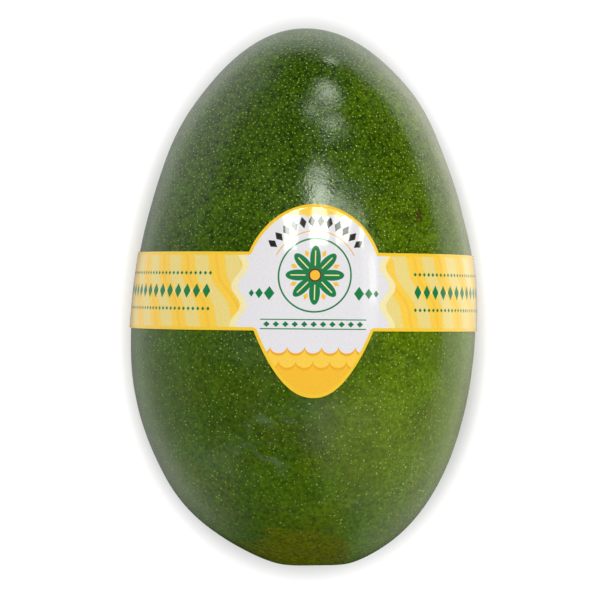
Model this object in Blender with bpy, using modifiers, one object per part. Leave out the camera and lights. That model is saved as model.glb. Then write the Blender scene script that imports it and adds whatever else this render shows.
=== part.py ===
# A green mango lying on its broad cheek, with a printed paper band round its middle.
# Metres, +Z up. The fruit's length runs along Y with its tip at +Y and its stem at -Y,
# its breadth runs along X with the beak side at +X, and it rests on Z = 0.
import bmesh
import bpy
import numpy as np

# Fruit: along its length t runs from -1 at the stem to +1 at the tip, and round a section
# the angle is 0 on the beak side (+X) and 90 degrees on the upper cheek (+Z).
HALF_LENGTH = 0.07245
HALF_BREADTH = 0.0461  # at mid-length
TAPER = 0.0040  # half breadth lost from mid-length to the tip, and gained to the stem
FULLNESS = 0.0010  # half breadth that both ends gain over an ellipse
NARROWING = 0.0010  # half breadth lost at the very tip, in t cubed
FLATNESS = 0.91  # thickness over breadth
SQUARENESS = 0.025  # how far a section's diagonals stand out of an ellipse
BACK_HEAVY = 0.05  # how much thicker a section is towards the back (-X) than the beak side
LEAN = 0.0023  # sideways run of the centre line, in t
BOW = 0.0014  # in t squared
CURL = -0.0034  # in t cubed

# Low swells and hollows of the skin: place t, angle in degrees, height, reach
SWELLS = (
    (0.86, 12.0, -0.0004, 0.012),
    (0.52, 0.0, -0.0012, 0.012),
    (0.30, 0.0, -0.0009, 0.011),
    (0.62, 180.0, 0.0009, 0.014),
    (-0.35, 180.0, 0.0006, 0.018),
    (-0.78, 180.0, 0.0009, 0.012),
    (-0.62, 196.0, 0.0004, 0.020),
    (0.46, 128.0, -0.0004, 0.018),
    (-0.36, 58.0, -0.0004, 0.017),
    (-0.10, 262.0, 0.0004, 0.022),
    (0.52, 285.0, -0.0005, 0.016),
)

# Stem end
BASIN_DEPTH = 0.0032
BASIN_REACH = 0.0060
SHOULDER_HEIGHT = 0.0012
SHOULDER_REACH = 0.0130
STUB_BASE_RADIUS = 0.0034
STUB_TOP_RADIUS = 0.0026
STUB_ROOT = 0.0030  # sunk in the fruit
STUB_RISE = 0.0013  # above the basin's floor
STUB_ROUNDING = 0.0004
STUB_SIDES = 20

RESTING_SPOT_DEPTH = 0.0008  # cut off the lower cheek

# Label: s runs round the fruit from the top line towards +X, and v along Y
LABEL_GAP = 0.0003  # clear of the skin
LABEL_THICKNESS = 0.0005
LABEL_LENGTH = 0.224
BAND_WIDTH = 0.0202
BAND_CENTRE_V = 0.0011
BAND_SLOPE = -0.0082  # rise of the band for each metre towards +X
MEDALLION_S = 0.0024
CROWN_HALF_WIDTH = 0.0173  # the medallion's round upper lobe
CROWN_RISE = 0.0124
TONGUE_HALF_WIDTH = 0.0158  # its pointed lower lobe
TONGUE_DROP = 0.0172
TONGUE_POWER = 2.2  # 2 is a parabola, and more is fuller

# Mesh fineness
FRUIT_SEGMENTS = 80
FRUIT_RINGS = 56
ARM_COLUMNS = 34
MEDALLION_COLUMNS = 24
LABEL_ROWS = 6
ARC_SAMPLES = 240

FRUIT_GREEN = (0.055, 0.115, 0.020, 1.0)
LABEL_YELLOW = (0.93, 0.60, 0.08, 1.0)


def smooth_skin(t, angle):
    """The fruit's surface before swells, for arrays of t and angle (radians)."""
    breadth = HALF_BREADTH - TAPER * t + FULLNESS * t * t - NARROWING * t**3
    breadth = breadth * np.sqrt(np.clip(1 - t * t, 0, 1))
    breadth = breadth * (1 + SQUARENESS * (1 - np.cos(4 * angle)) / 2)
    across = breadth * np.cos(angle)
    up = breadth * FLATNESS * np.sin(angle) * (1 - BACK_HEAVY * np.cos(angle))
    reach = np.hypot(across, up)
    stem_side = np.where(t < 0, 1.0, 0.0)
    basin = BASIN_DEPTH * np.exp(-((reach / BASIN_REACH) ** 2))
    shoulder = SHOULDER_HEIGHT * np.exp(-((reach / SHOULDER_REACH) ** 2))
    along = HALF_LENGTH * t + stem_side * (basin - shoulder)
    centre = LEAN * t + BOW * t * t + CURL * t**3
    return np.stack([centre + across, along, up], axis=-1)


def skin(t, angle):
    """The fruit's surface with its low swells, which push straight out from the centre line."""
    points = smooth_skin(t, angle)
    outward = np.stack([np.cos(angle), np.zeros_like(angle), np.sin(angle)], axis=-1)
    for place_t, place_angle, height, reach in SWELLS:
        middle = smooth_skin(np.array(place_t), np.radians(place_angle))
        away = np.linalg.norm(points - middle, axis=-1)
        points = points + outward * (height * np.exp(-((away / reach) ** 2)))[..., None]
    return points


def skin_normal(t, angle):
    step = 1e-4
    round_way = skin(t, angle + step) - skin(t, angle - step)
    long_way = skin(t + step, angle) - skin(t - step, angle)
    normal = np.cross(long_way, round_way)
    return normal / np.linalg.norm(normal, axis=-1, keepdims=True)


def lift_to_floor(points):
    """Where the finished fruit lies: its box centred over the origin, its resting spot on Z = 0."""
    low = points.min(axis=0)
    high = points.max(axis=0)
    middle = (low + high) / 2
    return np.array([-middle[0], -middle[1], -(low[2] + RESTING_SPOT_DEPTH)])


def new_object(name, mesh, collection):
    thing = bpy.data.objects.new(name, mesh)
    collection.objects.link(thing)
    return thing


def new_collection(name):
    collection = bpy.data.collections.new(name)
    bpy.context.scene.collection.children.link(collection)
    return collection


def principled(name, colour, roughness):
    material = bpy.data.materials.new(name)
    material.use_nodes = True
    shader = material.node_tree.nodes["Principled BSDF"]
    shader.inputs["Base Color"].default_value = colour
    shader.inputs["Roughness"].default_value = roughness
    shader.inputs["Metallic"].default_value = 0.0
    return material


def shade_smooth(mesh, angle_degrees):
    mesh.shade_smooth()
    mesh.set_sharp_from_angle(angle=np.radians(angle_degrees))


def make_fruit(collection):
    """A sphere shaped by the skin's formula, with its poles at the stem and the tip."""
    shape = bmesh.new()
    bmesh.ops.create_uvsphere(shape, u_segments=FRUIT_SEGMENTS, v_segments=FRUIT_RINGS, radius=1.0)
    unit = np.array([vertex.co[:] for vertex in shape.verts])
    t = np.clip(unit[:, 2], -1, 1)
    angle = np.arctan2(-unit[:, 1], unit[:, 0])
    points = skin(t, angle)
    shift = lift_to_floor(points)
    for vertex, point in zip(shape.verts, points + shift):
        vertex.co = point

    cut = bmesh.ops.bisect_plane(
        shape,
        geom=shape.verts[:] + shape.edges[:] + shape.faces[:],
        dist=1e-7,
        plane_co=(0, 0, 0),
        plane_no=(0, 0, -1),
        clear_outer=True,
    )
    rim = [item for item in cut["geom_cut"] if isinstance(item, bmesh.types.BMEdge)]
    bmesh.ops.edgeloop_fill(shape, edges=rim)
    bmesh.ops.recalc_face_normals(shape, faces=shape.faces[:])

    mesh = bpy.data.meshes.new("mango")
    shape.to_mesh(mesh)
    shape.free()
    shade_smooth(mesh, 30)
    fruit = new_object("mango", mesh, collection)
    fruit.data.materials.append(principled("mango_skin", FRUIT_GREEN, 0.35))
    return fruit, shift


def make_stub(collection, shift):
    """The dry stub of the stem, standing in its basin and pointing to -Y."""
    depth = STUB_ROOT + STUB_RISE
    shape = bmesh.new()
    bmesh.ops.create_cone(
        shape,
        cap_ends=True,
        segments=STUB_SIDES,
        radius1=STUB_BASE_RADIUS,
        radius2=STUB_TOP_RADIUS,
        depth=depth,
    )
    mesh = bpy.data.meshes.new("stem_stub")
    shape.to_mesh(mesh)
    shape.free()
    stub = new_object("stem_stub", mesh, collection)
    floor = skin(np.array(-1.0), np.array(0.0)) + shift
    stub.location = (floor[0], floor[1] - STUB_RISE + depth / 2, floor[2])
    stub.rotation_euler = (np.radians(90), 0, 0)
    rounding = stub.modifiers.new("Rounded rim", "BEVEL")
    rounding.width = STUB_ROUNDING
    rounding.segments = 2
    rounding.limit_method = "ANGLE"
    stub.hide_render = True
    stub.display_type = "WIRE"
    return stub


def join_stub(fruit, stub):
    union = fruit.modifiers.new("Stem stub", "BOOLEAN")
    union.operation = "UNION"
    union.solver = "EXACT"
    union.object = stub


def label_columns():
    """Places s of the label's columns, closest together where the medallion's outline is steep."""
    left = MEDALLION_S - CROWN_HALF_WIDTH
    right = MEDALLION_S + CROWN_HALF_WIDTH
    turn = np.linspace(-np.pi / 2, np.pi / 2, MEDALLION_COLUMNS + 1)
    return np.concatenate(
        [
            np.linspace(-LABEL_LENGTH / 2, left, ARM_COLUMNS, endpoint=False),
            MEDALLION_S + CROWN_HALF_WIDTH * np.sin(turn),
            np.linspace(LABEL_LENGTH / 2, right, ARM_COLUMNS, endpoint=False)[::-1],
        ]
    )


def label_edges(s):
    """The label's lower and upper edge at s."""
    from_middle = s - MEDALLION_S
    radius = (CROWN_HALF_WIDTH**2 + CROWN_RISE**2) / (2 * CROWN_RISE)
    crown = np.sqrt(np.clip(radius**2 - from_middle**2, 0, None)) - (radius - CROWN_RISE)
    tongue = TONGUE_DROP * (1 - abs(from_middle / TONGUE_HALF_WIDTH) ** TONGUE_POWER)
    middle = BAND_CENTRE_V + BAND_SLOPE * s
    lower = middle - BAND_WIDTH / 2 - np.clip(tongue, 0, None)
    upper = middle + BAND_WIDTH / 2 + np.clip(crown, 0, None)
    return lower, upper


def angles_at(s):
    """The section angles that lie s round the band's middle ring from the top line."""
    angles = np.linspace(-np.pi / 2, 3 * np.pi / 2, ARC_SAMPLES * 2 + 1)
    ring = skin(np.full_like(angles, BAND_CENTRE_V / HALF_LENGTH), angles)
    steps = np.linalg.norm(np.diff(ring, axis=0), axis=1)
    run = np.concatenate([[0], np.cumsum(steps)])
    return np.interp(run[ARC_SAMPLES] - s, run, angles)


def make_label(collection, shift):
    """An open strip of quads laid on the skin, thickened outwards."""
    shape = bmesh.new()
    columns = []
    places = label_columns()
    for s, angle in zip(places, angles_at(places)):
        lower, upper = label_edges(s)
        t = np.linspace(lower, upper, LABEL_ROWS + 1) / HALF_LENGTH
        angle = np.full_like(t, angle)
        points = skin(t, angle) + skin_normal(t, angle) * LABEL_GAP + shift
        columns.append([shape.verts.new(point) for point in points])
    for left, right in zip(columns, columns[1:]):
        for row in range(LABEL_ROWS):
            shape.faces.new((left[row], right[row], right[row + 1], left[row + 1]))

    mesh = bpy.data.meshes.new("label_band")
    shape.to_mesh(mesh)
    shape.free()
    shade_smooth(mesh, 30)
    label = new_object("label_band", mesh, collection)
    label.data.materials.append(principled("label_paper", LABEL_YELLOW, 0.3))
    wall = label.modifiers.new("Paper", "SOLIDIFY")
    wall.thickness = LABEL_THICKNESS
    wall.offset = 1.0
    return label


def main():
    for thing in list(bpy.data.objects):
        bpy.data.objects.remove(thing, do_unlink=True)
    parts = new_collection("mango_with_label")
    helpers = new_collection("joined_shapes")
    fruit, shift = make_fruit(parts)
    join_stub(fruit, make_stub(helpers, shift))
    make_label(parts, shift)


main()
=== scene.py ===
import math

import bmesh
import bpy
import numpy as np
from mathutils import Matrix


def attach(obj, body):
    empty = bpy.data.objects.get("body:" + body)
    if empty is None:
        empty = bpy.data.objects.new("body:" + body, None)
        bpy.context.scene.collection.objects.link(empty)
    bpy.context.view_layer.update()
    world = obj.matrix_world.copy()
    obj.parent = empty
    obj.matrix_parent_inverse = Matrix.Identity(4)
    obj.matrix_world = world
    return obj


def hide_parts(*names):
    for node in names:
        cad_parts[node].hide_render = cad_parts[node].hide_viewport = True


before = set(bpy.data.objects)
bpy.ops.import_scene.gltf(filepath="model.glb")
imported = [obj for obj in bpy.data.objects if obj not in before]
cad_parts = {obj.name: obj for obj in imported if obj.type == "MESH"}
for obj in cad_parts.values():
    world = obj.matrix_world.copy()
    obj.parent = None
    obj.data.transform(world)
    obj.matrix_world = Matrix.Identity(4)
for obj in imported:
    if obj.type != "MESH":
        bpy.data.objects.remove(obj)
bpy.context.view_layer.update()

mm = 0.001
print("frame loaded:", ", ".join(sorted(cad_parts)))


class Wire:  # one output of a node, whose sums add Math nodes
    def __init__(self, graph, socket):
        self.graph = graph
        self.socket = socket

    def out(self, name):
        return Wire(self.graph, self.socket.node.outputs[name])

    def __add__(self, other):
        return self.graph.maths("ADD", self, other)

    def __sub__(self, other):
        return self.graph.maths("SUBTRACT", self, other)

    def __mul__(self, other):
        return self.graph.maths("MULTIPLY", self, other)

    def __truediv__(self, other):
        return self.graph.maths("DIVIDE", self, other)

    def __pow__(self, other):
        return self.graph.maths("POWER", self, other)

    def __rsub__(self, other):
        return self.graph.maths("SUBTRACT", other, self)

    def __rtruediv__(self, other):
        return self.graph.maths("DIVIDE", other, self)

    def __neg__(self):
        return self.graph.maths("MULTIPLY", self, -1.0)

    __radd__ = __add__
    __rmul__ = __mul__


class Graph:  # adds nodes to one tree
    def __init__(self, tree):
        self.tree = tree
        tree.nodes.clear()

    def node(self, kind, settings=None, sockets=None):
        made = self.tree.nodes.new(kind)
        for name, value in (settings or {}).items():
            setattr(made, name, value)
        for key, value in (sockets or {}).items():
            if isinstance(value, Wire):
                self.tree.links.new(value.socket, made.inputs[key])
            else:
                made.inputs[key].default_value = value
        outputs = [socket for socket in made.outputs if socket.enabled]
        return Wire(self, outputs[0]) if outputs else made

    def maths(self, operation, *values):
        return self.node("ShaderNodeMath", {"operation": operation}, dict(enumerate(values)))

    def vector(self, operation, *values, **sockets):
        sockets = {**dict(enumerate(values)), **sockets}
        return self.node("ShaderNodeVectorMath", {"operation": operation}, sockets)

    def cosine(self, value):
        return self.maths("COSINE", value)

    def sine(self, value):
        return self.maths("SINE", value)

    def exponent(self, value):
        return self.maths("EXPONENT", value)

    def lessThan(self, value, limit):
        return self.maths("LESS_THAN", value, limit)

    def absolute(self, value):
        return self.maths("ABSOLUTE", value)

    def most(self, *values):
        best = values[0]
        for value in values[1:]:
            best = self.maths("MAXIMUM", best, value)
        return best

    def combine(self, x, y, z):
        return self.node("ShaderNodeCombineXYZ", None, {0: x, 1: y, 2: z})

    def separate(self, value):
        parts = self.node("ShaderNodeSeparateXYZ", None, {0: value})
        return parts.out("X"), parts.out("Y"), parts.out("Z")

    def ease(self, value, low, high, fromValue=0.0, toValue=1.0):
        sockets = {0: value, 1: low, 2: high, 3: fromValue, 4: toValue}
        return self.node("ShaderNodeMapRange", {"interpolation_type": "SMOOTHSTEP"}, sockets)

    def noise(self, place, scale, detail=2.0, roughness=0.5, shift=(0.0, 0.0, 0.0)):
        moved = self.vector("ADD", place, shift)
        sockets = {"Vector": moved, "Scale": scale, "Detail": detail, "Roughness": roughness}
        return self.node("ShaderNodeTexNoise", None, sockets)

    def blend(self, factor, first, second):
        colours = [(*c, 1.0) if isinstance(c, tuple) else c for c in (first, second)]
        sockets = {0: factor, 6: colours[0], 7: colours[1]}
        return self.node("ShaderNodeMix", {"data_type": "RGBA", "clamp_factor": True}, sockets)


class Plain:  # the same sums on numbers and arrays
    cosine = staticmethod(np.cos)
    sine = staticmethod(np.sin)
    exponent = staticmethod(np.exp)
    lessThan = staticmethod(lambda value, limit: np.where(value < limit, 1.0, 0.0))


# Fruit: t runs from -1 at the stem to +1 at the tip. Round a section the angle is 0 on the
# beak side and 90 degrees on the upper cheek.
fruit = {
    "halfLength": 0.07245,
    "halfBreadth": 0.0461,
    "taper": 0.0040,
    "fullness": 0.0010,
    "narrowing": 0.0010,
    "flatness": 0.91,
    "squareness": 0.025,
    "backHeavy": 0.05,
    "lean": 0.0023,
    "bow": 0.0014,
    "curl": -0.0034,
    "basinDepth": 0.0032,
    "basinReach": 0.0060,
    "shoulderHeight": 0.0012,
    "shoulderReach": 0.0130,
    "spotDepth": 0.0008,
    "spotSoftness": 0.0003,
    "waveHeight": 0.00007,  # half the height of the small waves that break up a highlight
    "waveLength": 0.0075,
    "segments": 320,
    "rings": 256,
}
swells = [  # place t, angle in degrees, height, reach
    (0.86, 12.0, -0.0004, 0.012),
    (0.52, 0.0, -0.0012, 0.012),
    (0.30, 0.0, -0.0009, 0.011),
    (0.62, 180.0, 0.0009, 0.014),
    (-0.35, 180.0, 0.0006, 0.018),
    (-0.78, 180.0, 0.0009, 0.012),
    (-0.62, 196.0, 0.0004, 0.020),
    (0.46, 128.0, -0.0004, 0.018),
    (-0.36, 58.0, -0.0004, 0.017),
    (-0.10, 262.0, 0.0004, 0.022),
    (0.52, 285.0, -0.0005, 0.016),
]


def smoothSkin(do, size, t, angle, ring):  # ring is the unit sphere's radius at t
    breadth = size["halfBreadth"] - size["taper"] * t
    breadth = breadth + size["fullness"] * t * t - size["narrowing"] * t * t * t
    square = 1.0 + size["squareness"] * 0.5 * (1.0 - do.cosine(angle * 4.0))
    breadth = breadth * ring * square
    across = breadth * do.cosine(angle)
    up = breadth * size["flatness"] * do.sine(angle) * (1.0 - size["backHeavy"] * do.cosine(angle))
    away = across * across + up * up
    basin = size["basinDepth"] * do.exponent(-(away / (size["basinReach"] * size["basinReach"])))
    shoulderArea = size["shoulderReach"] * size["shoulderReach"]
    shoulder = size["shoulderHeight"] * do.exponent(-(away / shoulderArea))
    along = size["halfLength"] * t + do.lessThan(t, 0.0) * (basin - shoulder)
    centre = size["lean"] * t + size["bow"] * t * t + size["curl"] * t * t * t
    return centre + across, along, up


def skin(do, size, t, angle, ring):  # with the low swells, which push straight out
    x, y, z = smoothSkin(do, size, t, angle, ring)
    acrossWay, upWay = do.cosine(angle), do.sine(angle)
    for placeT, degrees, height, reach in swells:
        middle = smoothSkin(Plain, fruit, placeT, math.radians(degrees), math.sqrt(1 - placeT**2))
        dx, dy, dz = x - float(middle[0]), y - float(middle[1]), z - float(middle[2])
        push = do.exponent(-((dx * dx + dy * dy + dz * dz) * (1.0 / reach**2))) * height
        x = x + push * acrossWay
        z = z + push * upWay
    return x, y, z


def skinPoints(t, angle):
    return np.stack(skin(Plain, fruit, t, angle, np.sqrt(np.clip(1 - t * t, 0, 1))), axis=-1)


def skinNormals(t, angle):
    step = 1e-4
    roundWay = skinPoints(t, angle + step) - skinPoints(t, angle - step)
    longWay = skinPoints(t + step, angle) - skinPoints(t - step, angle)
    normal = np.cross(longWay, roundWay)
    return normal / np.linalg.norm(normal, axis=-1, keepdims=True)


def layingShift():  # brings the fruit's box over the origin and its resting spot to the floor
    t, angle = np.meshgrid(np.cos(np.linspace(0, math.pi, 400)), np.linspace(0, math.tau, 400))
    points = skinPoints(t, angle).reshape(-1, 3)
    low, high = points.min(axis=0), points.max(axis=0)
    return np.array([-(low[0] + high[0]) / 2, -(low[1] + high[1]) / 2, -low[2] - fruit["spotDepth"]])


shift = layingShift()


# Objects and Geometry Nodes
def newObject(name, mesh):
    thing = bpy.data.objects.new(name, mesh)
    bpy.context.scene.collection.objects.link(thing)
    return thing


def nodeTree(name, sizes):  # a tree with one named number input for each size
    tree = bpy.data.node_groups.new(name, "GeometryNodeTree")
    tree.interface.new_socket("Geometry", in_out="INPUT", socket_type="NodeSocketGeometry")
    tree.interface.new_socket("Geometry", in_out="OUTPUT", socket_type="NodeSocketGeometry")
    for key, value in sizes.items():
        kind = "NodeSocketInt" if isinstance(value, int) else "NodeSocketFloat"
        tree.interface.new_socket(key, in_out="INPUT", socket_type=kind)
    graph = Graph(tree)
    start = graph.node("NodeGroupInput")
    return graph, {key: start.out(key) for key in ("Geometry", *sizes)}


def finishTree(graph, shape, material):
    real = graph.node("GeometryNodeRealizeInstances", None, {0: shape})
    dressed = graph.node("GeometryNodeSetMaterial", None, {0: real, "Material": material})
    graph.node("NodeGroupOutput", None, {0: dressed})


def applyTree(thing, graph, sizes):  # turns the tree's result into a plain mesh
    modifier = thing.modifiers.new(graph.tree.name, "NODES")
    modifier.node_group = graph.tree
    for item in graph.tree.interface.items_tree:
        if item.in_out == "INPUT" and item.name in sizes:
            modifier[item.identifier] = sizes[item.name]
    depsgraph = bpy.context.evaluated_depsgraph_get()
    mesh = bpy.data.meshes.new_from_object(thing.evaluated_get(depsgraph))
    thing.modifiers.remove(modifier)
    thing.data = mesh
    mesh.name = thing.name
    return thing


def makeFruit(material):
    graph, size = nodeTree("mango shape", fruit)
    fineness = {"Segments": size["segments"], "Rings": size["rings"], "Radius": 1.0}
    ball = graph.node("GeometryNodeMeshUVSphere", None, fineness)
    x, y, z = graph.separate(graph.node("GeometryNodeInputPosition"))
    ring = graph.maths("SQRT", x * x + y * y)
    angle = graph.maths("ARCTAN2", -y, x)
    px, py, pz = skin(graph, size, z, angle, ring)
    wave = graph.noise(graph.combine(px, py, pz), 1.0 / size["waveLength"], detail=1.0)
    push = (wave - 0.5) * 2.0 * size["waveHeight"]
    px = px + push * graph.cosine(angle) + float(shift[0])
    pz = pz + push * graph.sine(angle) + float(shift[2])
    pz = graph.maths("SMOOTH_MAX", pz, 0.0, size["spotSoftness"])
    place = graph.combine(px, py + float(shift[1]), pz)
    shaped = graph.node("GeometryNodeSetPosition", None, {"Geometry": ball, "Position": place})
    smooth = graph.node("GeometryNodeSetShadeSmooth", None, {0: shaped})
    finishTree(graph, smooth, material)
    return applyTree(newObject("mango_fruit", bpy.data.meshes.new("mango_fruit")), graph, fruit)


# Lenticels: the pale corky specks of the skin, as flat domes sunk in it
lenticels = {
    "spacing": 0.00106,
    "density": 2400000.0,
    "radius": 0.00041,
    "height": 0.00006,
    "sink": 0.00003,
    "sides": 6,
    "seed": 11,
    "thinFrom": 0.035,  # along the fruit, towards the stem
    "thinTo": -0.045,
    "thinShare": 0.32,
    "bareFrom": -0.054,
    "bareTo": -0.068,
    "bareShare": 0.15,
    "smallest": 0.70,
    "largest": 1.20,
    "sizeSeed": 3,
    "tipGrowth": 0.86,
    "stemGrowth": 1.12,
    "growFrom": 0.050,
    "growTo": -0.045,
    "toneSeed": 8,
}


def makeLenticels(material, skinMesh):
    graph, size = nodeTree("lenticels", lenticels)
    y = graph.separate(graph.node("GeometryNodeInputPosition"))[1]
    share = graph.ease(y, size["thinTo"], size["thinFrom"], size["thinShare"], 1.0)
    share = share * graph.ease(y, size["bareTo"], size["bareFrom"], size["bareShare"], 1.0)
    spots = graph.node(
        "GeometryNodeDistributePointsOnFaces",
        {"distribute_method": "POISSON"},
        {
            "Mesh": size["Geometry"],
            "Distance Min": size["spacing"],
            "Density Max": size["density"],
            "Density Factor": share,
            "Seed": size["seed"],
        },
    )
    dome = graph.node(
        "GeometryNodeMeshCone",
        {"fill_type": "NGON"},
        {
            "Vertices": size["sides"],
            "Side Segments": 1,
            "Fill Segments": 1,
            "Radius Top": 0.0,
            "Radius Bottom": size["radius"],
            "Depth": size["height"],
        },
    )
    drop = {"Geometry": dome.out("Mesh"), "Translation": graph.combine(0.0, 0.0, -size["sink"])}
    lowered = graph.node("GeometryNodeTransform", None, drop)
    spread = graph.node(
        "FunctionNodeRandomValue",
        {"data_type": "FLOAT"},
        {2: size["smallest"], 3: size["largest"], "Seed": size["sizeSeed"]},
    )
    growth = graph.ease(y, size["growTo"], size["growFrom"], size["stemGrowth"], size["tipGrowth"])
    placed = graph.node(
        "GeometryNodeInstanceOnPoints",
        None,
        {
            "Points": spots.out("Points"),
            "Instance": lowered,
            "Rotation": spots.out("Rotation"),
            "Scale": spread * growth,
        },
    )
    tone = graph.node(
        "FunctionNodeRandomValue",
        {"data_type": "FLOAT"},
        {2: 0.0, 3: 1.0, "Seed": size["toneSeed"]},
    )
    noted = graph.node(
        "GeometryNodeStoreNamedAttribute",
        {"data_type": "FLOAT", "domain": "INSTANCE"},
        {"Geometry": placed, "Name": "tone", "Value": tone},
    )
    finishTree(graph, noted, material)
    return applyTree(newObject("lenticels", skinMesh.copy()), graph, lenticels)


# Skin finish
skinLook = {
    "deep": (0.028, 0.066, 0.0006),
    "leaf": (0.043, 0.094, 0.0008),
    "bright": (0.088, 0.158, 0.0004),
    "olive": (0.064, 0.079, 0.0004),
    "bronze": (0.066, 0.078, 0.0010),
    # bloom: the skin's real waxy bloom, plus painted sheen that stands in for reflected light at the
    # sides and in patches
    "bloomAndSheen": (0.30, 0.36, 0.29),
    "haze": (0.30, 0.37, 0.08),  # the tint of the bloom and painted sheen on the +x side, away from the stem end
    "lenticel": (0.34, 0.49, 0.09),
    "smear": (0.014, 0.030, 0.002),
    "scar": (0.050, 0.034, 0.006),
    "woody": (0.075, 0.045, 0.018),
    "basin": (0.070, 0.062, 0.014),
    "bronzeShare": 0.32,
    "bronzeLeast": 0.04,
    "bloomAndSheenShare": 0.13,
    "scuffShare": 0.20,
    "speckScale": 0.95,
    "speckShare": 0.50,
    "haloDepth": 0.24,
    "toneCurve": 1.6,  # of the lenticels, from faint to pale
    "toneReach": 0.68,
    "toneLeast": 0.24,
    "roughness": 0.13,
    "bloomRoughness": 0.06,
    "dullRoughness": 0.10,
    "lenticelRoughness": 0.26,
}
skinNoise = {  # scale for each millimetre, detail, roughness and shift
    "broad": (0.045, 2.0, 0.5),
    "middling": (0.16, 3.0, 0.55, (40.0, 0.0, 0.0)),
    "fine": (0.95, 3.0, 0.70, (0.0, 70.0, 0.0)),
    "mottle": (0.42, 2.0, 0.5, (15.0, 0.0, 0.0)),
    "bronze": (0.075, 3.0, 0.6, (21.0, 0.0, 8.0)),
    "bloomAndSheen": (0.085, 3.0, 0.55, (0.0, 0.0, 55.0)),
    "strokes": (0.50, 2.0, 0.5, (3.0, 5.0, 0.0)),
    "scratches": (0.8, 2.0, 0.6),
    "grain": (2.6, 2.0, 0.6, (9.0, 9.0, 9.0)),
    "dull": (0.13, 3.0, 0.6, (0.0, 12.0, 31.0)),
}
skinFades = {  # from and to in millimetres, and the values there where they aren't 0 and 1
    "sideX": (-26.0, 36.0),
    "stemY": (10.0, -50.0),
    "brightByStemY": (-32.0, -62.0, 1.0, 0.45),
    "brightByTipY": (38.0, -8.0, 0.62, 1.06),
    "oliveSideX": (13.8, 10.4),
    "oliveWanderZ": (44.0, 58.0, 26.0, 0.0),
    # the bloom and painted sheen thicken at both sides, where the painted sheen stands in for the
    # reflection of the bright floor
    "bloomAndSheenLeftX": (-10.0, -34.0, 0.0, 0.12),
    "bloomAndSheenRightX": (26.0, 38.0, 0.0, 0.25),
    "bloomAndSheenStemY": (5.0, -25.0, 0.0, 0.08),
    "hazeX": (-2.0, 14.0),
    "hazeY": (-62.0, -46.0),
    "rimX": (26.0, 40.0, 1.0, 0.5),
    "gritY": (-30.0, 20.0, 0.80, 1.20),
    "mottleY": (-30.0, 25.0, 0.5, 1.6),
    "mottleX": (-8.0, 20.0, 1.0, 0.5),
    "levelY": (-20.0, 20.0, 1.09, 1.04),
    "specksY": (-62.0, -48.0),
    "paleStemX": (0.0, 24.0, 0.60, 0.95),
    "paleStemY": (-45.0, 30.0),
    "paleEndY": (-70.0, -52.0, 0.4, 1.0),
    "paleSideX": (-36.0, 20.0, 0.74, 1.10),
    "paleRimX": (30.0, 43.0, 1.0, 0.5),
}
skinPlaces = {  # middle and reach in millimetres
    "olive": ((0.0, -74.0, 58.0), 25.0),
    "scuffs": ((-11.0, -38.0, 78.0), 15.0),
    "scar": ((29.9, 20.6, 71.0), 3.4),
    "smear": ((11.4, 20.7, 36.8), 2.4),  # squeezed by smearSqueeze
    "tip": ((0.1, 72.0, 41.0), 1.6),
    "basin": ((-0.5, -70.8, 42.0), 6.5),
}
smearSqueeze = (0.45, 1.0, 0.5)
bloomAndSheenPatches = [  # patches of waxy bloom and painted sheen: middle and reach in millimetres, and strength
    ((18.0, -36.0, 74.0), 26.0, 0.55),
    ((16.0, -50.0, 68.0), 25.0, 0.48),
    ((6.0, -32.0, 80.0), 14.0, 0.60),
    ((-17.0, -42.0, 74.0), 14.0, 0.35),
    ((-20.0, 30.0, 74.0), 26.0, 0.14),
    ((-10.0, -16.0, 82.0), 22.0, 0.30),
    ((18.0, -62.0, 54.0), 16.0, 0.35),
    ((0.0, -60.0, 66.0), 22.0, -0.35),
]


def newMaterial(name):
    material = bpy.data.materials.new(name)
    material.use_nodes = True
    return material, Graph(material.node_tree)


def finishMaterial(graph, sockets):
    shader = graph.node("ShaderNodeBsdfPrincipled", None, sockets)
    graph.node("ShaderNodeOutputMaterial", None, {"Surface": shader})


def nearness(graph, place, middle, reach):  # 1 at a place of the skin, falling to 0 at reach
    return graph.ease(graph.vector("DISTANCE", place, middle), 0.0, reach, 1.0, 0.0)


def greenSkin(graph, place, middling, fine):  # deep to bright green, with bronze and the olive patch
    look, fades = skinLook, skinFades
    x, y, z = graph.separate(place)
    broad = graph.noise(place, *skinNoise["broad"])
    side = graph.ease(x, *fades["sideX"])
    low = graph.ease(y, *fades["stemY"])
    leafy = graph.ease(broad * 0.8 + middling * 0.5 + low * 0.15, 0.55, 1.02)
    colour = graph.blend(leafy, look["deep"], look["leaf"])
    uneven = (middling - 0.5) * 0.8 + (broad - 0.5) * 0.5
    # lighter, yellower green towards the +x side, less of it towards the stem and the tip
    brightShare = graph.ease(side + uneven + low * side * 0.10, 0.40, 1.22)
    brightShare = brightShare * graph.ease(y, *fades["brightByStemY"]) * graph.ease(y, *fades["brightByTipY"])
    colour = graph.blend(brightShare, colour, look["bright"])
    bronze = graph.ease(graph.noise(place, *skinNoise["bronze"]), 0.46, 0.66)
    bronze = (bronze * look["bronzeShare"] + look["bronzeLeast"]) * low
    colour = graph.blend(bronze, colour, look["bronze"])
    oliveHere = nearness(graph, place, *skinPlaces["olive"]) + (middling - 0.5) * 0.9
    oliveEdge = x + (fine - 0.5) * 3.0 + (middling - 0.5) * graph.ease(z, *fades["oliveWanderZ"])
    olive = graph.ease(oliveHere, 0.22, 0.42) * graph.ease(oliveEdge, *fades["oliveSideX"])
    return graph.blend(olive, colour, look["olive"]), olive


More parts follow.
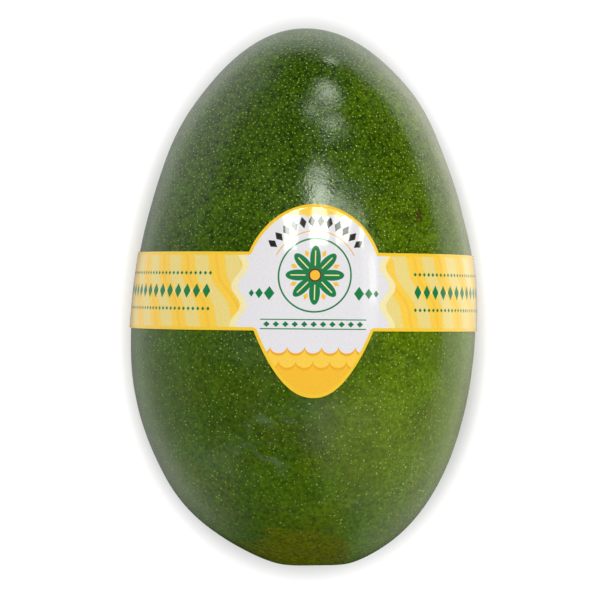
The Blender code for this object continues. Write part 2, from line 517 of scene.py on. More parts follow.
def bloomAndSheenOver(graph, place, olive):  # how thick the waxy bloom and the painted sheen lie, from 0 to 1
    fades = skinFades
    x, y = graph.separate(place)[:2]
    here = (graph.noise(place, *skinNoise["bloomAndSheen"]) - 0.5) * 0.9
    here = here + graph.ease(x, *fades["bloomAndSheenLeftX"]) + graph.ease(x, *fades["bloomAndSheenRightX"])
    here = here + graph.ease(y, *fades["bloomAndSheenStemY"])
    for middle, reach, strength in bloomAndSheenPatches:
        here = here + nearness(graph, place, middle, reach) * strength
    return graph.ease(here, 0.16, 1.00) * (1.0 - olive)


def speckle(graph, place, colour, fine):  # grit and mottling, and faint specks in darker haloes
    look, fades = skinLook, skinFades
    x, y = graph.separate(place)[:2]
    sides = graph.ease(graph.absolute(x), *fades["rimX"])
    grit = (graph.ease(fine, 0.30, 0.70) - 0.5) * graph.ease(y, *fades["gritY"]) * sides
    mottle = graph.noise(place, *skinNoise["mottle"]) - 0.5
    grit = grit + mottle * graph.ease(y, *fades["mottleY"]) * graph.ease(x, *fades["mottleX"])
    specks = graph.node("ShaderNodeTexVoronoi", None, {"Vector": place, "Scale": look["speckScale"]})
    tone = graph.separate(specks.out("Color"))[0]
    there = graph.ease(tone, 0.15, 0.75) * graph.ease(y, *fades["specksY"])
    speck = graph.ease(specks.out("Distance"), 0.25, 0.13) * there
    halo = graph.ease(specks.out("Distance"), 0.60, 0.26) * there * sides
    level = (grit + graph.ease(y, *fades["levelY"])) * (1.0 - halo * look["haloDepth"])
    colour = graph.vector("SCALE", colour, Scale=level)
    return graph.blend(speck * look["speckShare"], colour, look["lenticel"])


def blemish(graph, place, colour, fine):  # the scar with its dark smear, the tip and the basin
    look = skinLook
    x, y, z = graph.separate(place)
    squeezed = graph.vector("MULTIPLY", place, smearSqueeze)
    smear = nearness(graph, squeezed, *skinPlaces["smear"]) + (fine - 0.5) * 0.6
    colour = graph.blend(graph.ease(smear, 0.1, 0.8) * 0.55, colour, look["smear"])
    scratched = graph.combine(x * 1.9 + y * 1.1, y * 0.55 - x * 0.35, z)
    scratches = graph.noise(scratched, *skinNoise["scratches"])
    scar = nearness(graph, place, *skinPlaces["scar"]) * 1.1 + (scratches - 0.5) * 2.6
    colour = graph.blend(graph.ease(scar, 0.50, 1.05) * 0.9, colour, look["scar"])
    tip = nearness(graph, place, *skinPlaces["tip"])
    colour = graph.blend(graph.ease(tip, 0.1, 0.5), colour, look["woody"])
    basin = nearness(graph, place, *skinPlaces["basin"]) + (fine - 0.5) * 0.4
    return graph.blend(graph.ease(basin, 0.15, 0.75) * 0.7, colour, look["basin"])


def skinColour(graph, place):
    look, fades = skinLook, skinFades
    x, y, z = graph.separate(place)
    middling = graph.noise(place, *skinNoise["middling"])
    fine = graph.noise(place, *skinNoise["fine"])
    colour, olive = greenSkin(graph, place, middling, fine)
    colour = speckle(graph, place, colour, fine)
    bloomAndSheen = bloomAndSheenOver(graph, place, olive)
    drawn = graph.combine(x * 0.30 + z * 0.1, y * 0.6 + x * 0.25, z * 0.4)
    strokes = graph.ease(graph.noise(drawn, *skinNoise["strokes"]), 0.50, 0.72)
    scuffs = strokes * nearness(graph, place, *skinPlaces["scuffs"])
    hazy = graph.ease(x, *fades["hazeX"]) * graph.ease(y, *fades["hazeY"])
    bloomAndSheenTint = graph.blend(hazy, look["bloomAndSheen"], look["haze"])
    # the pale veil: waxy bloom with painted sheen, and rubbed scuffs
    veil = bloomAndSheen * look["bloomAndSheenShare"] + scuffs * look["scuffShare"]
    colour = graph.blend(veil, colour, bloomAndSheenTint)
    return blemish(graph, place, colour, fine), bloomAndSheen, fine


def skinMaterial():
    material, graph = newMaterial("mango skin")
    place = graph.vector("SCALE", graph.node("ShaderNodeTexCoord").out("Object"), Scale=1000.0)
    colour, bloomAndSheen, fine = skinColour(graph, place)
    grain = graph.noise(place, *skinNoise["grain"])
    pits = graph.node(
        "ShaderNodeTexVoronoi",
        {"feature": "SMOOTH_F1"},
        {"Vector": place, "Scale": 1.3, "Smoothness": 0.5},
    )
    height = grain * 0.6 + pits.out("Distance") * 0.6 + fine * 0.45
    bump = graph.node("ShaderNodeBump", None, {"Strength": 0.6, "Distance": 0.00005, "Height": height})
    dull = graph.ease(graph.noise(place, *skinNoise["dull"]), 0.42, 0.72)
    dulled = bloomAndSheen * skinLook["bloomRoughness"] + dull * skinLook["dullRoughness"]
    finishMaterial(
        graph,
        {
            "Base Color": colour,
            "Roughness": skinLook["roughness"] + dulled,
            "IOR": 1.45,
            "Normal": bump,
        },
    )
    return material


def lenticelMaterial():
    look, fades = skinLook, skinFades
    material, graph = newMaterial("lenticel cork")
    place = graph.vector("SCALE", graph.node("ShaderNodeTexCoord").out("Object"), Scale=1000.0)
    colour = skinColour(graph, place)[0]
    tone = graph.node("ShaderNodeAttribute", {"attribute_name": "tone"}).out("Fac")
    x, y = graph.separate(place)[:2]
    strength = tone ** look["toneCurve"] * look["toneReach"] + look["toneLeast"]
    stemPaleness = graph.ease(x, *fades["paleStemX"])
    strength = strength * graph.ease(y, *fades["paleStemY"], stemPaleness, 1.0)
    strength = strength * graph.ease(y, *fades["paleEndY"])
    strength = strength * graph.ease(x, *fades["paleSideX"])
    strength = strength * graph.ease(graph.absolute(x), *fades["paleRimX"])
    colour = graph.blend(strength, colour, look["lenticel"])
    finishMaterial(graph, {"Base Color": colour, "Roughness": look["lenticelRoughness"], "IOR": 1.45})
    return material


# Label: s runs round the fruit from the top line towards the beak side, and v along the fruit
label = {
    "length": 0.224,
    "bandWidth": 0.0202,
    "centreV": 0.00142,
    "slope": -0.0082,
    "medallionS": 0.0024,
    "crownS": 0.00215,
    "tongueS": 0.00260,
    "crownHalfWidth": 0.0173,
    "crownRise": 0.0124,
    "tongueHalfWidth": 0.0155,
    "tongueDrop": 0.0172,
    "tonguePower": 2.2,
    "lift": 0.00013,
    "thickness": 0.00018,
    "pucker": 0.00007,
    "puckerReach": 0.0022,
    "rimBevel": 0.00004,
    "border": 0.00085,
    "armColumns": 110,
    "medallionColumns": 96,
    "rows": 44,
}


def labelColumns():
    left = label["crownS"] - label["crownHalfWidth"]
    right = label["crownS"] + label["crownHalfWidth"]
    turn = np.linspace(-math.pi / 2, math.pi / 2, label["medallionColumns"] + 1)
    half = label["length"] / 2
    return np.concatenate(
        [
            np.linspace(-half, left, label["armColumns"], endpoint=False),
            label["crownS"] + label["crownHalfWidth"] * np.sin(turn),
            np.linspace(half, right, label["armColumns"], endpoint=False)[::-1],
        ]
    )


def labelEdges(s):
    fromCrown, fromTongue = s - label["crownS"], s - label["tongueS"]
    rise, half = label["crownRise"], label["crownHalfWidth"]
    radius = (half**2 + rise**2) / (2 * rise)
    crown = np.sqrt(np.clip(radius**2 - fromCrown**2, 0, None)) - (radius - rise)
    aside = abs(fromTongue / label["tongueHalfWidth"])
    tongue = label["tongueDrop"] * (1 - aside ** label["tonguePower"])
    middle = label["centreV"] + label["slope"] * s
    lower = middle - label["bandWidth"] / 2 - np.clip(tongue, 0, None)
    upper = middle + label["bandWidth"] / 2 + np.clip(crown, 0, None)
    return lower, upper


def anglesAt(s):  # section angles that lie s round the band's middle ring from the top line
    samples = 360
    angles = np.linspace(-math.pi / 2, 3 * math.pi / 2, samples * 2 + 1)
    ring = skinPoints(np.full_like(angles, label["centreV"] / fruit["halfLength"]), angles)
    run = np.concatenate([[0], np.cumsum(np.linalg.norm(np.diff(ring, axis=0), axis=1))])
    return np.interp(run[samples] - s, run, angles)


def edgeDistances(s, v, columns, lower, upper):  # of each point from the label's outline
    outline = np.concatenate([np.stack([columns, lower], 1), np.stack([columns, upper], 1)[::-1]])
    ends = np.roll(outline, -1, axis=0)
    along = ends - outline
    lengths = (along**2).sum(1) + 1e-18
    points = np.stack([s.ravel(), v.ravel()], 1)
    best = np.full(len(points), 1.0)
    for start, way, length in zip(outline, along, lengths):
        share = np.clip(((points - start) @ way) / length, 0, 1)
        best = np.minimum(best, np.linalg.norm(points - start - share[:, None] * way, axis=1))
    return best.reshape(s.shape)


def makeLabel(material):
    columns = labelColumns()
    lower, upper = labelEdges(columns)
    share = np.linspace(0, 1, label["rows"] + 1)
    v = lower[:, None] + (upper - lower)[:, None] * share[None, :]
    s = np.repeat(columns[:, None], label["rows"] + 1, axis=1)
    edge = edgeDistances(s, v, columns, lower, upper)
    angle = np.repeat(anglesAt(columns)[:, None], label["rows"] + 1, axis=1)
    t = v / fruit["halfLength"]
    nearEdge = np.exp(-edge / label["puckerReach"])
    waves = np.sin(s * 430.0 + np.sin(s * 97.0) * 2.0) * 0.5 + np.sin(s * 171.0 + 1.3) * 0.5
    lift = label["lift"] + label["pucker"] * nearEdge * (1.0 + waves)
    points = skinPoints(t, angle) + skinNormals(t, angle) * lift[..., None] + shift

    shape = bmesh.new()
    layout = shape.loops.layers.uv.new("layout")
    edgeLayer = shape.verts.layers.float.new("edge")
    grid = [[shape.verts.new(point) for point in row] for row in points]
    places = {}
    for i, row in enumerate(grid):
        for j, vertex in enumerate(row):
            vertex[edgeLayer] = edge[i, j]
            places[vertex] = (s[i, j], v[i, j])
    for i in range(len(grid) - 1):
        for j in range(label["rows"]):
            face = shape.faces.new((grid[i][j], grid[i + 1][j], grid[i + 1][j + 1], grid[i][j + 1]))
            face.smooth = True
            for loop in face.loops:
                loop[layout].uv = places[loop.vert]
    mesh = bpy.data.meshes.new("label_wrap")
    shape.to_mesh(mesh)
    shape.free()
    mesh.materials.append(material)
    thing = newObject("label_wrap", mesh)
    wall = thing.modifiers.new("Paper", "SOLIDIFY")
    wall.thickness = label["thickness"]
    wall.offset = 1.0
    rim = thing.modifiers.new("Soft rim", "BEVEL")
    rim.width = label["rimBevel"]
    rim.segments = 1
    rim.limit_method = "ANGLE"
    return thing


# Label print
inks = {
    "field": (0.76, 0.745, 0.765),
    "yellow": (0.93, 0.60, 0.065),
    "pale": (0.82, 0.66, 0.22),
    "gold": (0.90, 0.50, 0.030),
    "amber": (0.86, 0.40, 0.02),
    "cream": (0.88, 0.78, 0.42),
    "green": (0.004, 0.20, 0.055),
    "dark": (0.018, 0.012, 0.010),
    "brown": (0.10, 0.022, 0.018),
    "border": (0.91, 0.58, 0.03),
}
motifs = {  # places and sizes in millimetres, from the medallion's middle
    "stripeStep": 9.0,
    "paleTo": 2.0,
    "goldFrom": 3.9,
    "goldShare": 0.5,
    "creamFrom": 18.5,
    "stripesFrom": 20.3,
    "rowsFrom": 26.9,
    "rowStep": 9.2,
    "diamondStep": 3.0,
    "diamond": (1.15, 1.9),
    "smallDiamond": (0.5, 0.55),
    "dot": 0.38,
    "scaleWidth": 4.4,
    "scaleDepth": 0.85,
    "scaleLine": 0.7,
    "footRows": ((-13.9, 0.0, "yellow"), (-17.6, 2.2, "gold")),  # top, sideways shift and ink
    "headAt": 18.6,
    "headDepth": 0.5,
    "rules": (-7.2, -9.6),
    "ruleReach": 13.7,
    "beadStep": 2.4,
    "beadAt": -8.4,
    "bead": (0.85, 0.75),
    "beadReach": 13.2,
    "sideDiamonds": ((11.6, 1.35), (14.2, 1.0), (16.2, 0.7)),  # distance and half width
    "sideDiamondsAt": -0.5,
}
rosette = {
    "middle": 4.2,
    "radius": 7.6,
    "petals": 8,
    "petalMiddle": 0.58,  # of the radius, as are the next four
    "petalHalfLength": 0.42,
    "petalHalfWidth": 0.185,
    "veinHalfLength": 0.26,
    "seedAt": 0.78,
    "seed": (1.0, 0.62),
    "eye": 1.7,
    "pupil": 1.3,
    "ringAt": 9.4,
    "arcLineAt": 11.4,
    "arcAt": 13.9,
    "arcStep": 10.0,  # degrees, as are the next two
    "arcReach": 60.1,
    "arcLineReach": 64.0,
    "arcDiamond": (0.95, 1.55),
}


def lozenge(graph, x, y, halfWidth, halfHeight):  # 1 inside a diamond, with a crisp soft edge
    reach = graph.absolute(x) / halfWidth + graph.absolute(y) / halfHeight
    return graph.ease(reach, 1.06, 0.94)


def disc(graph, x, y, radius):
    reach = graph.maths("SQRT", x * x + y * y)
    return graph.ease(reach, radius + 0.05, radius - 0.05)


def stroke(graph, value, middle, halfWidth):
    away = graph.absolute(value - middle)
    return graph.ease(away, halfWidth + 0.05, halfWidth - 0.05)


def past(graph, value, limit, blur=0.1):  # 1 past a limit, or below it where the blur is negative
    return graph.ease(value, limit, limit + blur)


def repeated(graph, value, step):  # the distance from the nearest of evenly spaced middles
    return graph.maths("PINGPONG", value, step / 2.0)


def inSteps(graph, value, step):  # the place within each step, from its middle
    return graph.maths("FLOORED_MODULO", value, step) - step / 2.0


def armPrint(graph, x, y):  # slanting stripes behind a waved cream front, with rows of diamonds
    slant = repeated(graph, x + y * 0.55 + graph.sine(y * 0.5) * 0.8, motifs["stripeStep"])
    stripes = graph.blend(past(graph, slant, motifs["paleTo"], 0.2), inks["pale"], inks["yellow"])
    golden = past(graph, slant, motifs["goldFrom"], 0.2) * motifs["goldShare"]
    stripes = graph.blend(golden, stripes, inks["gold"])
    side = graph.absolute(x)
    front = side - graph.sine(y * 0.62 + 0.7) * 1.3
    colour = graph.blend(past(graph, front, motifs["creamFrom"]), inks["field"], inks["cream"])
    colour = graph.blend(past(graph, front, motifs["stripesFrom"]), colour, stripes)

    here = past(graph, side, motifs["rowsFrom"], 0.2)
    step = motifs["diamondStep"]
    outerRow = repeated(graph, y, motifs["rowStep"]) - motifs["rowStep"] / 2.0
    diamonds = lozenge(graph, inSteps(graph, side, step), y, *motifs["diamond"])
    smalls = lozenge(graph, inSteps(graph, side, step / 2.0), outerRow, *motifs["smallDiamond"])
    dots = disc(graph, inSteps(graph, side + step / 2.0, step), y, motifs["dot"])
    colour = graph.blend(diamonds * here, colour, inks["green"])
    colour = graph.blend(smalls * here, colour, inks["green"])
    return graph.blend(dots * here, colour, inks["cream"])


def scalePrint(graph, x, y, colour):  # golden scales that fill the tongue's foot and the crown's top
    half = motifs["scaleWidth"] / 2.0

    def arch(shift):
        across = repeated(graph, x + shift, motifs["scaleWidth"])
        return graph.maths("SQRT", graph.most(half * half - across * across, 0.0))

    for top, shift, ink in motifs["footRows"]:
        foot = y + arch(shift) * motifs["scaleDepth"]
        colour = graph.blend(past(graph, foot, top, -0.1), colour, inks["amber"])
        colour = graph.blend(past(graph, foot, top - motifs["scaleLine"], -0.1), colour, inks[ink])
    head = y - arch(0.0) * motifs["headDepth"]
    return graph.blend(past(graph, head, motifs["headAt"]), colour, inks["yellow"])


def rosettePrint(graph, x, y, colour):  # petals and seeds in a ring, under an arc of dark diamonds
    up = y - rosette["middle"]
    away = graph.maths("SQRT", x * x + up * up)
    turn = graph.maths("ARCTAN2", x, up)
    radius = rosette["radius"]
    petalTurn = math.tau / rosette["petals"]

    fold = repeated(graph, turn, petalTurn)
    fromMiddle = away * graph.cosine(fold) - radius * rosette["petalMiddle"]
    petalY = away * graph.sine(fold)
    along = fromMiddle / (radius * rosette["petalHalfLength"])
    petal = along**2.0 + (petalY / (radius * rosette["petalHalfWidth"])) ** 2.0
    colour = graph.blend(past(graph, petal, 1.05, -0.1), colour, inks["green"])
    vein = past(graph, graph.absolute(fromMiddle), radius * rosette["veinHalfLength"], -0.01 * radius)
    colour = graph.blend(stroke(graph, petalY, 0.0, 0.14) * vein, colour, inks["cream"])

    between = repeated(graph, turn + petalTurn / 2.0, petalTurn)
    seedX = away * graph.cosine(between) - radius * rosette["seedAt"]
    seed = lozenge(graph, seedX, away * graph.sine(between), *rosette["seed"])
    colour = graph.blend(seed, colour, inks["gold"])
    colour = graph.blend(disc(graph, x, up, rosette["eye"]), colour, inks["brown"])
    colour = graph.blend(disc(graph, x, up, rosette["pupil"]), colour, inks["gold"])
    colour = graph.blend(stroke(graph, away, rosette["ringAt"], 0.22), colour, inks["green"])

    lean = graph.absolute(turn)
    arcX = inSteps(graph, turn, math.radians(rosette["arcStep"])) * rosette["arcAt"]
    arc = lozenge(graph, arcX, away - rosette["arcAt"], *rosette["arcDiamond"])
    arc = arc * past(graph, lean, math.radians(rosette["arcReach"]), math.radians(-0.2))
    colour = graph.blend(arc, colour, inks["dark"])
    arcLine = stroke(graph, away, rosette["arcLineAt"], 0.13)
    arcLine = arcLine * past(graph, lean, math.radians(rosette["arcLineReach"]), math.radians(-0.5))
    return graph.blend(arcLine, colour, inks["amber"])


def rulePrint(graph, x, y, colour):  # two rules with beads between, and diamonds beside the rosette
    side = graph.absolute(x)
    rules = graph.most(*[stroke(graph, y, at, 0.14) for at in motifs["rules"]])
    rules = rules * past(graph, side, motifs["ruleReach"], -0.1)
    colour = graph.blend(rules, colour, inks["green"])
    beadX = inSteps(graph, x + motifs["beadStep"] / 2.0, motifs["beadStep"])
    beads = lozenge(graph, beadX, y - motifs["beadAt"], *motifs["bead"])
    colour = graph.blend(beads * past(graph, side, motifs["beadReach"], -0.1), colour, inks["green"])
    for at, size in motifs["sideDiamonds"]:
        diamond = lozenge(graph, side - at, y - motifs["sideDiamondsAt"], size, size * 1.35)
        colour = graph.blend(diamond, colour, inks["green"])
    return colour


def labelMaterial():
    material, graph = newMaterial("printed label")
    layout = graph.node("ShaderNodeUVMap", {"uv_map": "layout"})
    s, v = graph.separate(graph.vector("SCALE", layout, Scale=1000.0))[:2]
    edge = graph.node("ShaderNodeAttribute", {"attribute_name": "edge"}).out("Fac") * 1000.0
    x = s - label["medallionS"] * 1000.0
    y = v - (label["centreV"] * 1000.0 + s * label["slope"])
    colour = armPrint(graph, x, y)
    colour = scalePrint(graph, x, y, colour)
    colour = rosettePrint(graph, x, y, colour)
    colour = rulePrint(graph, x, y, colour)
    border = past(graph, edge, label["border"] * 1000.0 + 0.05, -0.1)
    colour = graph.blend(border, colour, inks["border"])
    fibre = graph.noise(graph.combine(s, v, 0.0), 1.6, 3.0, 0.6)
    colour = graph.blend(graph.ease(fibre, 0.35, 0.75) * 0.06, colour, inks["dark"])
    bump = graph.node("ShaderNodeBump", None, {"Strength": 0.25, "Distance": 0.00001, "Height": fibre})
    finishMaterial(
        graph,
        {
            "Base Color": colour,
            "Roughness": 0.5,
            "IOR": 1.45,
            "Specular IOR Level": 0.1,
            "Coat Weight": 1.0,
            "Coat Roughness": 0.07,
            "Normal": bump,
        },
    )
    return material


# Stem stub: a dry, broken piece of the stalk in its basin
stub = {
    "baseRadius": 0.0034,
    "topRadius": 0.0026,
    "rise": 0.0013,
    "root": 0.0016,
    "wallShare": 0.6,  # of the levels, the rest being the broken top
    "wallCurve": 0.6,
    "topCurve": 0.85,
    "topHollow": 0.00035,
    "topRipple": 0.00012,
    "topWaver": 0.00009,
    "ridges": 9,
    "ridgeHeight": 0.035,
    "lumpHeight": 0.025,
    "segments": 72,
    "levels": 26,
}


def stubProfile(share):  # radius and height above the basin's floor, from the root to the top's middle
    if share < stub["wallShare"]:
        climb = share / stub["wallShare"]
        narrowed = (stub["baseRadius"] - stub["topRadius"]) * climb ** stub["wallCurve"]
        return stub["baseRadius"] - narrowed, -stub["root"] + (stub["root"] + stub["rise"]) * climb
    inward = (share - stub["wallShare"]) / (1.0 - stub["wallShare"])
    hollow = stub["topHollow"] * math.sin(inward * math.pi * 0.5)
    ripple = stub["topRipple"] * math.sin(inward * 9)
    return stub["topRadius"] * (1 - inward) ** stub["topCurve"], stub["rise"] - hollow - ripple


def makeStub(material):
    floor = skinPoints(np.array(-1.0), np.array(0.0)) + shift
    shape = bmesh.new()
    phase = np.random.default_rng(5).uniform(0, math.tau, 3)
    rings = []
    for level in range(stub["levels"] + 1):
        radius, out = stubProfile(level / stub["levels"])
        ring = []
        for k in range(stub["segments"]):
            turn = math.tau * k / stub["segments"]
            ridge = stub["ridgeHeight"] * math.sin(stub["ridges"] * turn + phase[0])
            lump = stub["lumpHeight"] * math.sin(4 * turn + phase[1])
            reach = radius * (1 + ridge + lump)
            waver = stub["topWaver"] * math.sin(5 * turn + phase[2])
            waver *= min(1.0, radius / stub["topRadius"])
            place = (
                floor[0] + reach * math.cos(turn),
                floor[1] - out - waver,
                floor[2] + reach * math.sin(turn),
            )
            ring.append(shape.verts.new(place))
        rings.append(ring)
    for below, above in zip(rings, rings[1:]):
        for k in range(stub["segments"]):
            n = (k + 1) % stub["segments"]
            shape.faces.new((below[k], below[n], above[n], above[k]))
    shape.faces.new(rings[0])
    bmesh.ops.remove_doubles(shape, verts=shape.verts[:], dist=1e-7)
    bmesh.ops.recalc_face_normals(shape, faces=shape.faces[:])
    mesh = bpy.data.meshes.new("stem_stub")
    shape.to_mesh(mesh)
    shape.free()
    mesh.shade_smooth()
    mesh.materials.append(material)
    return newObject("stem_stub", mesh)


def stubMaterial():
    material, graph = newMaterial("dry stalk")
    place = graph.vector("SCALE", graph.node("ShaderNodeTexCoord").out("Object"), Scale=1000.0)
    grain = graph.noise(graph.vector("MULTIPLY", place, (1.0, 0.25, 1.0)), 2.2, 4.0, 0.65)
    colour = graph.blend(graph.ease(grain, 0.3, 0.7), (0.035, 0.022, 0.010), (0.16, 0.105, 0.05))
    bump = graph.node("ShaderNodeBump", None, {"Strength": 0.8, "Distance": 0.0001, "Height": grain})
    finishMaterial(graph, {"Base Color": colour, "Roughness": 0.85, "Normal": bump})
    return material


# Stage: floor, lights and camera
stage = {
    "floorRadius": 1.3,
    "floorWhite": 0.50,
    # the floor glows: evenly far off, and lower near the fruit, a painted shadow that is deeper on the
    # right and towards the stem
    "floorGlowInShadow": 0.29,
    "floorGlowFar": 1.25,
    "shadowDeeperRight": 0.12,
    "shadowDeeperStem": 0.08,
    "shadowFrom": 0.98,  # the painted shadow round the fruit in the floor's glow, in sizes of the fruit's outline
    "shadowTo": 1.28,
    "shadowToRight": 0.02,
    "shadowHalfWidth": 0.0465,
    "shadowTaper": 0.065,
    "shadowHalfLength": 0.0721,
    "floorDims": (0.2, 0.5, 1.0, 0.5),
    "contactShade": (1.0, 2.1, 0.28, 1.0),
    "warmSide": (1.14, 1.07, 1.0),
    "lampColour": (0.92, 1.0, 0.86),
    "ceilingColour": (1.0, 0.98, 0.60),
    "skyForCamera": 1.0,
    "skyForShade": 0.62,
    "sensor": 36.0,
    "pixel": 0.2697 * mm,
    "aimX": -0.92 * mm,
    "aimY": -1.035 * mm,
    "aimZ": 42.0 * mm,
    "cameraDistance": 0.85,
}
room = {  # what the gloss sees round the fruit: levels, and places in degrees round it
    "table": 0.70,
    "wall": 0.52,
    "wallHigher": 0.36,
    "wallHigh": 0.20,
    "window": (62.0, 0.0, 116.0, 1.02),
    "brightWall": (127.0, 0.0, 44.0, 0.60),
    "darkSide": (45.0, 48.0, 72.0),
    "darkFront": (-93.0, 8.0, 45.0),
    "tableFades": (0.16, 0.60),
    "higherAt": (0.04, 0.30),  # heights of a direction, from 0 at the table to 1 overhead
    "highAt": (0.30, 0.56),
    "darkAbove": (0.60, 0.85, 1.0, 0.0),
    "ceilingAt": (0.15, 0.40),
}


def within(graph, x, y, middle, inner, outer):  # 1 in the directions near one, falling to 0
    turn = graph.maths("ARCTAN2", y, x) * (180.0 / math.pi)
    return graph.ease(graph.maths("PINGPONG", turn - middle, 180.0), inner, outer, 1.0, 0.0)


def tableLevel(graph, x, y):
    window = within(graph, x, y, *room["window"][:3]) * room["window"][3]
    return (window + room["table"]) * (1.0 - within(graph, x, y, *room["darkFront"]))


def wallLevels(graph, x, y):  # at the table's height, higher and high
    front = 1.0 - within(graph, x, y, *room["darkFront"])
    side = 1.0 - within(graph, x, y, *room["darkSide"])
    bright = within(graph, x, y, *room["brightWall"][:3]) * room["brightWall"][3]
    softer = side * (front * 0.7 + 0.3)
    low = (bright + room["wall"]) * side * front
    return low, softer * room["wallHigher"], softer * room["wallHigh"]


def makeFloor():
    shape = bmesh.new()
    bmesh.ops.create_circle(shape, cap_ends=True, segments=96, radius=stage["floorRadius"])
    mesh = bpy.data.meshes.new("floor")
    shape.to_mesh(mesh)
    shape.free()
    material, graph = newMaterial("white table")
    x, y = graph.separate(graph.node("ShaderNodeTexCoord").out("Object"))[:2]
    width = stage["shadowHalfWidth"] - y * stage["shadowTaper"]
    away = graph.maths("SQRT", (x / width) ** 2.0 + (y / stage["shadowHalfLength"]) ** 2.0)
    distance = graph.maths("SQRT", x * x + y * y)
    right = graph.ease(x, -0.03, 0.03)
    stemward = graph.ease(y, 0.0, -0.05)
    # painted shadow: the glow the camera sees drops round the fruit's outline
    glowInShadow = stage["floorGlowInShadow"] - right * stage["shadowDeeperRight"]
    glowInShadow = glowInShadow - stemward * stage["shadowDeeperStem"]
    shadowTo = right * stage["shadowToRight"] + stage["shadowTo"]
    seen = graph.ease(away, stage["shadowFrom"], shadowTo, glowInShadow, stage["floorGlowFar"])
    seen = seen * graph.ease(distance, *stage["floorDims"])
    mirrored = tableLevel(graph, x, y)
    fades = graph.ease(distance - x * 0.35, *room["tableFades"])
    mirrored = mirrored + fades * (wallLevels(graph, x, y)[0] - mirrored)
    mirrored = mirrored * graph.ease(away, *stage["contactShade"])
    inGloss = graph.node("ShaderNodeLightPath").out("Is Glossy Ray")
    glow = seen + inGloss * (mirrored - seen)
    white = graph.blend(inGloss, (stage["floorWhite"],) * 3, (0.0, 0.0, 0.0))
    tint = graph.blend(inGloss * graph.ease(x / distance, 0.1, 0.8), (1.0, 1.0, 1.0), stage["warmSide"])
    lit = {"Base Color": white, "Roughness": 0.9, "Emission Color": tint, "Emission Strength": glow}
    finishMaterial(graph, lit)
    mesh.materials.append(material)
    newObject("floor", mesh)


def makeSky():
    world = bpy.data.worlds.new("studio")
    bpy.context.scene.world = world
    world.use_nodes = True
    graph = Graph(world.node_tree)
    path = graph.node("ShaderNodeLightPath")
    x, y, z = graph.separate(graph.node("ShaderNodeTexCoord").out("Generated"))
    low, higher, high = wallLevels(graph, x, y)
    mirrored = low + graph.ease(z, *room["higherAt"]) * (higher - low)
    mirrored = mirrored + graph.ease(z, *room["highAt"]) * (high - mirrored)
    mirrored = mirrored * graph.ease(z, *room["darkAbove"])
    strength = mirrored + path.out("Is Camera Ray") * (stage["skyForCamera"] - mirrored)
    strength = strength + path.out("Is Diffuse Ray") * (stage["skyForShade"] - strength)
    ceiling = graph.ease(z, *room["ceilingAt"]) * path.out("Is Glossy Ray")
    colour = graph.blend(ceiling, (1.0, 1.0, 1.0), stage["ceilingColour"])
    back = graph.node("ShaderNodeBackground", None, {"Color": colour, "Strength": strength})
    graph.node("ShaderNodeOutputWorld", None, {"Surface": back})


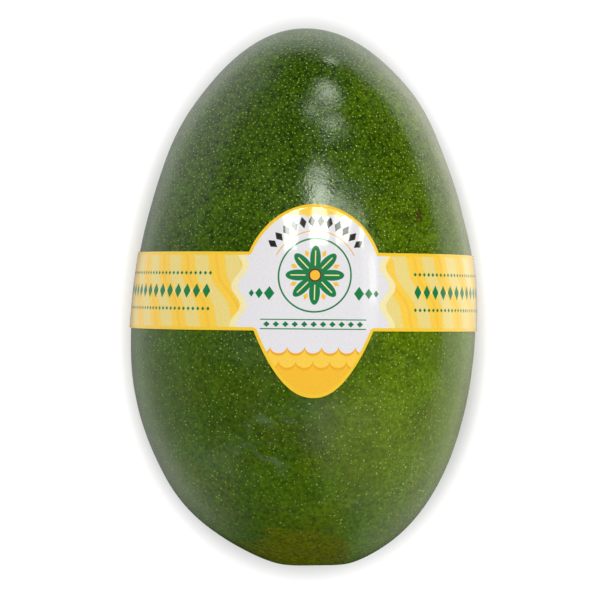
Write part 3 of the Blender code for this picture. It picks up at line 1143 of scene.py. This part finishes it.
lamps = [  # name, middle, width, length, radiance, what it serves
    ("stripLeft", (-0.06, 0.58, 1.10), 0.12, 0.46, 16.5, "label"),
    ("stripMiddle", (0.212, 0.56, 1.10), 0.19, 0.40, 13.0, "gloss"),
    ("stripRight", (0.455, 0.53, 1.10), 0.14, 0.31, 7.4, "gloss"),
    ("stripEdge", (0.70, 0.51, 1.10), 0.05, 0.28, 12.0, "gloss"),
    ("windowHigh", (0.355, 1.446, 0.575), 0.28, 0.24, 7.4, "gloss"),
    ("windowLow", (0.405, 1.185, 0.855), 0.28, 0.105, 7.8, "gloss"),
    ("windowSide", (0.125, 1.301, 0.786), 0.13, 0.17, 6.0, "gloss"),
    ("spot", (0.118, 0.498, 0.018), 0.004, 0.060, 52.0, "gloss"),
    ("keyRight", (0.88, 0.15, 1.15), 0.24, 0.50, 1.1, "gloss"),
    ("keyCore", (0.93, 0.20, 1.16), 0.10, 0.30, 2.2, "gloss"),
    ("fill", (0.30, 0.05, 1.60), 2.20, 2.20, 1.00, "shade"),
]


def makeLamps():
    target = np.array([0.0, 0.0, stage["aimZ"]])
    onlyLabel = bpy.data.collections.new("label only")
    onlyLabel.objects.link(bpy.data.objects["label_wrap"])
    for name, middle, width, length, radiance, served in lamps:
        data = bpy.data.lights.new(name, "AREA")
        data.shape = "RECTANGLE"
        data.size = width
        data.size_y = length
        data.energy = radiance * 4 * width * length  # so that a lamp's size leaves its brightness alone
        data.color = stage["lampColour"] if served != "shade" else (1.0, 1.0, 1.0)
        lamp = bpy.data.objects.new(name, data)
        bpy.context.scene.collection.objects.link(lamp)
        lamp.location = middle
        away = np.array(middle) - target
        tiltX = math.atan2(away[1], math.hypot(away[0], away[2]))
        tiltY = math.atan2(away[0], away[2])
        lamp.rotation_euler = (-tiltX, tiltY, 0.0)
        lamp.visible_glossy = served != "shade"
        lamp.visible_diffuse = served == "shade"
        if served == "label":
            lamp.light_linking.receiver_collection = onlyLabel
        lamp.visible_camera = False


def makeCamera():
    data = bpy.data.cameras.new("camera")
    data.sensor_width = stage["sensor"]
    data.lens = stage["sensor"] * stage["cameraDistance"] / (stage["pixel"] * 600)
    data.clip_start = 0.05
    data.clip_end = 20.0
    camera = bpy.data.objects.new("camera", data)
    bpy.context.scene.collection.objects.link(camera)
    camera.location = (stage["aimX"], stage["aimY"], stage["aimZ"] + stage["cameraDistance"])
    bpy.context.scene.camera = camera


fruitBody = makeFruit(skinMaterial())
specks = makeLenticels(lenticelMaterial(), fruitBody.data)
print("fruit made:", len(fruitBody.data.polygons), "faces")
print("lenticels made:", len(specks.data.polygons), "faces")
wrap = makeLabel(labelMaterial())
stalk = makeStub(stubMaterial())
print("label and stub made")

makeCamera()
makeSky()
makeFloor()
makeLamps()
bpy.context.scene.view_settings.view_transform = "Standard"
print("stage set")

for piece, node, slot in (
    (fruitBody, "mango", "skin"),
    (specks, "mango", "skin"),
    (stalk, "mango", "skin"),
    (wrap, "label_band", "label_paper"),
):
    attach(piece, "root")
    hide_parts(node)
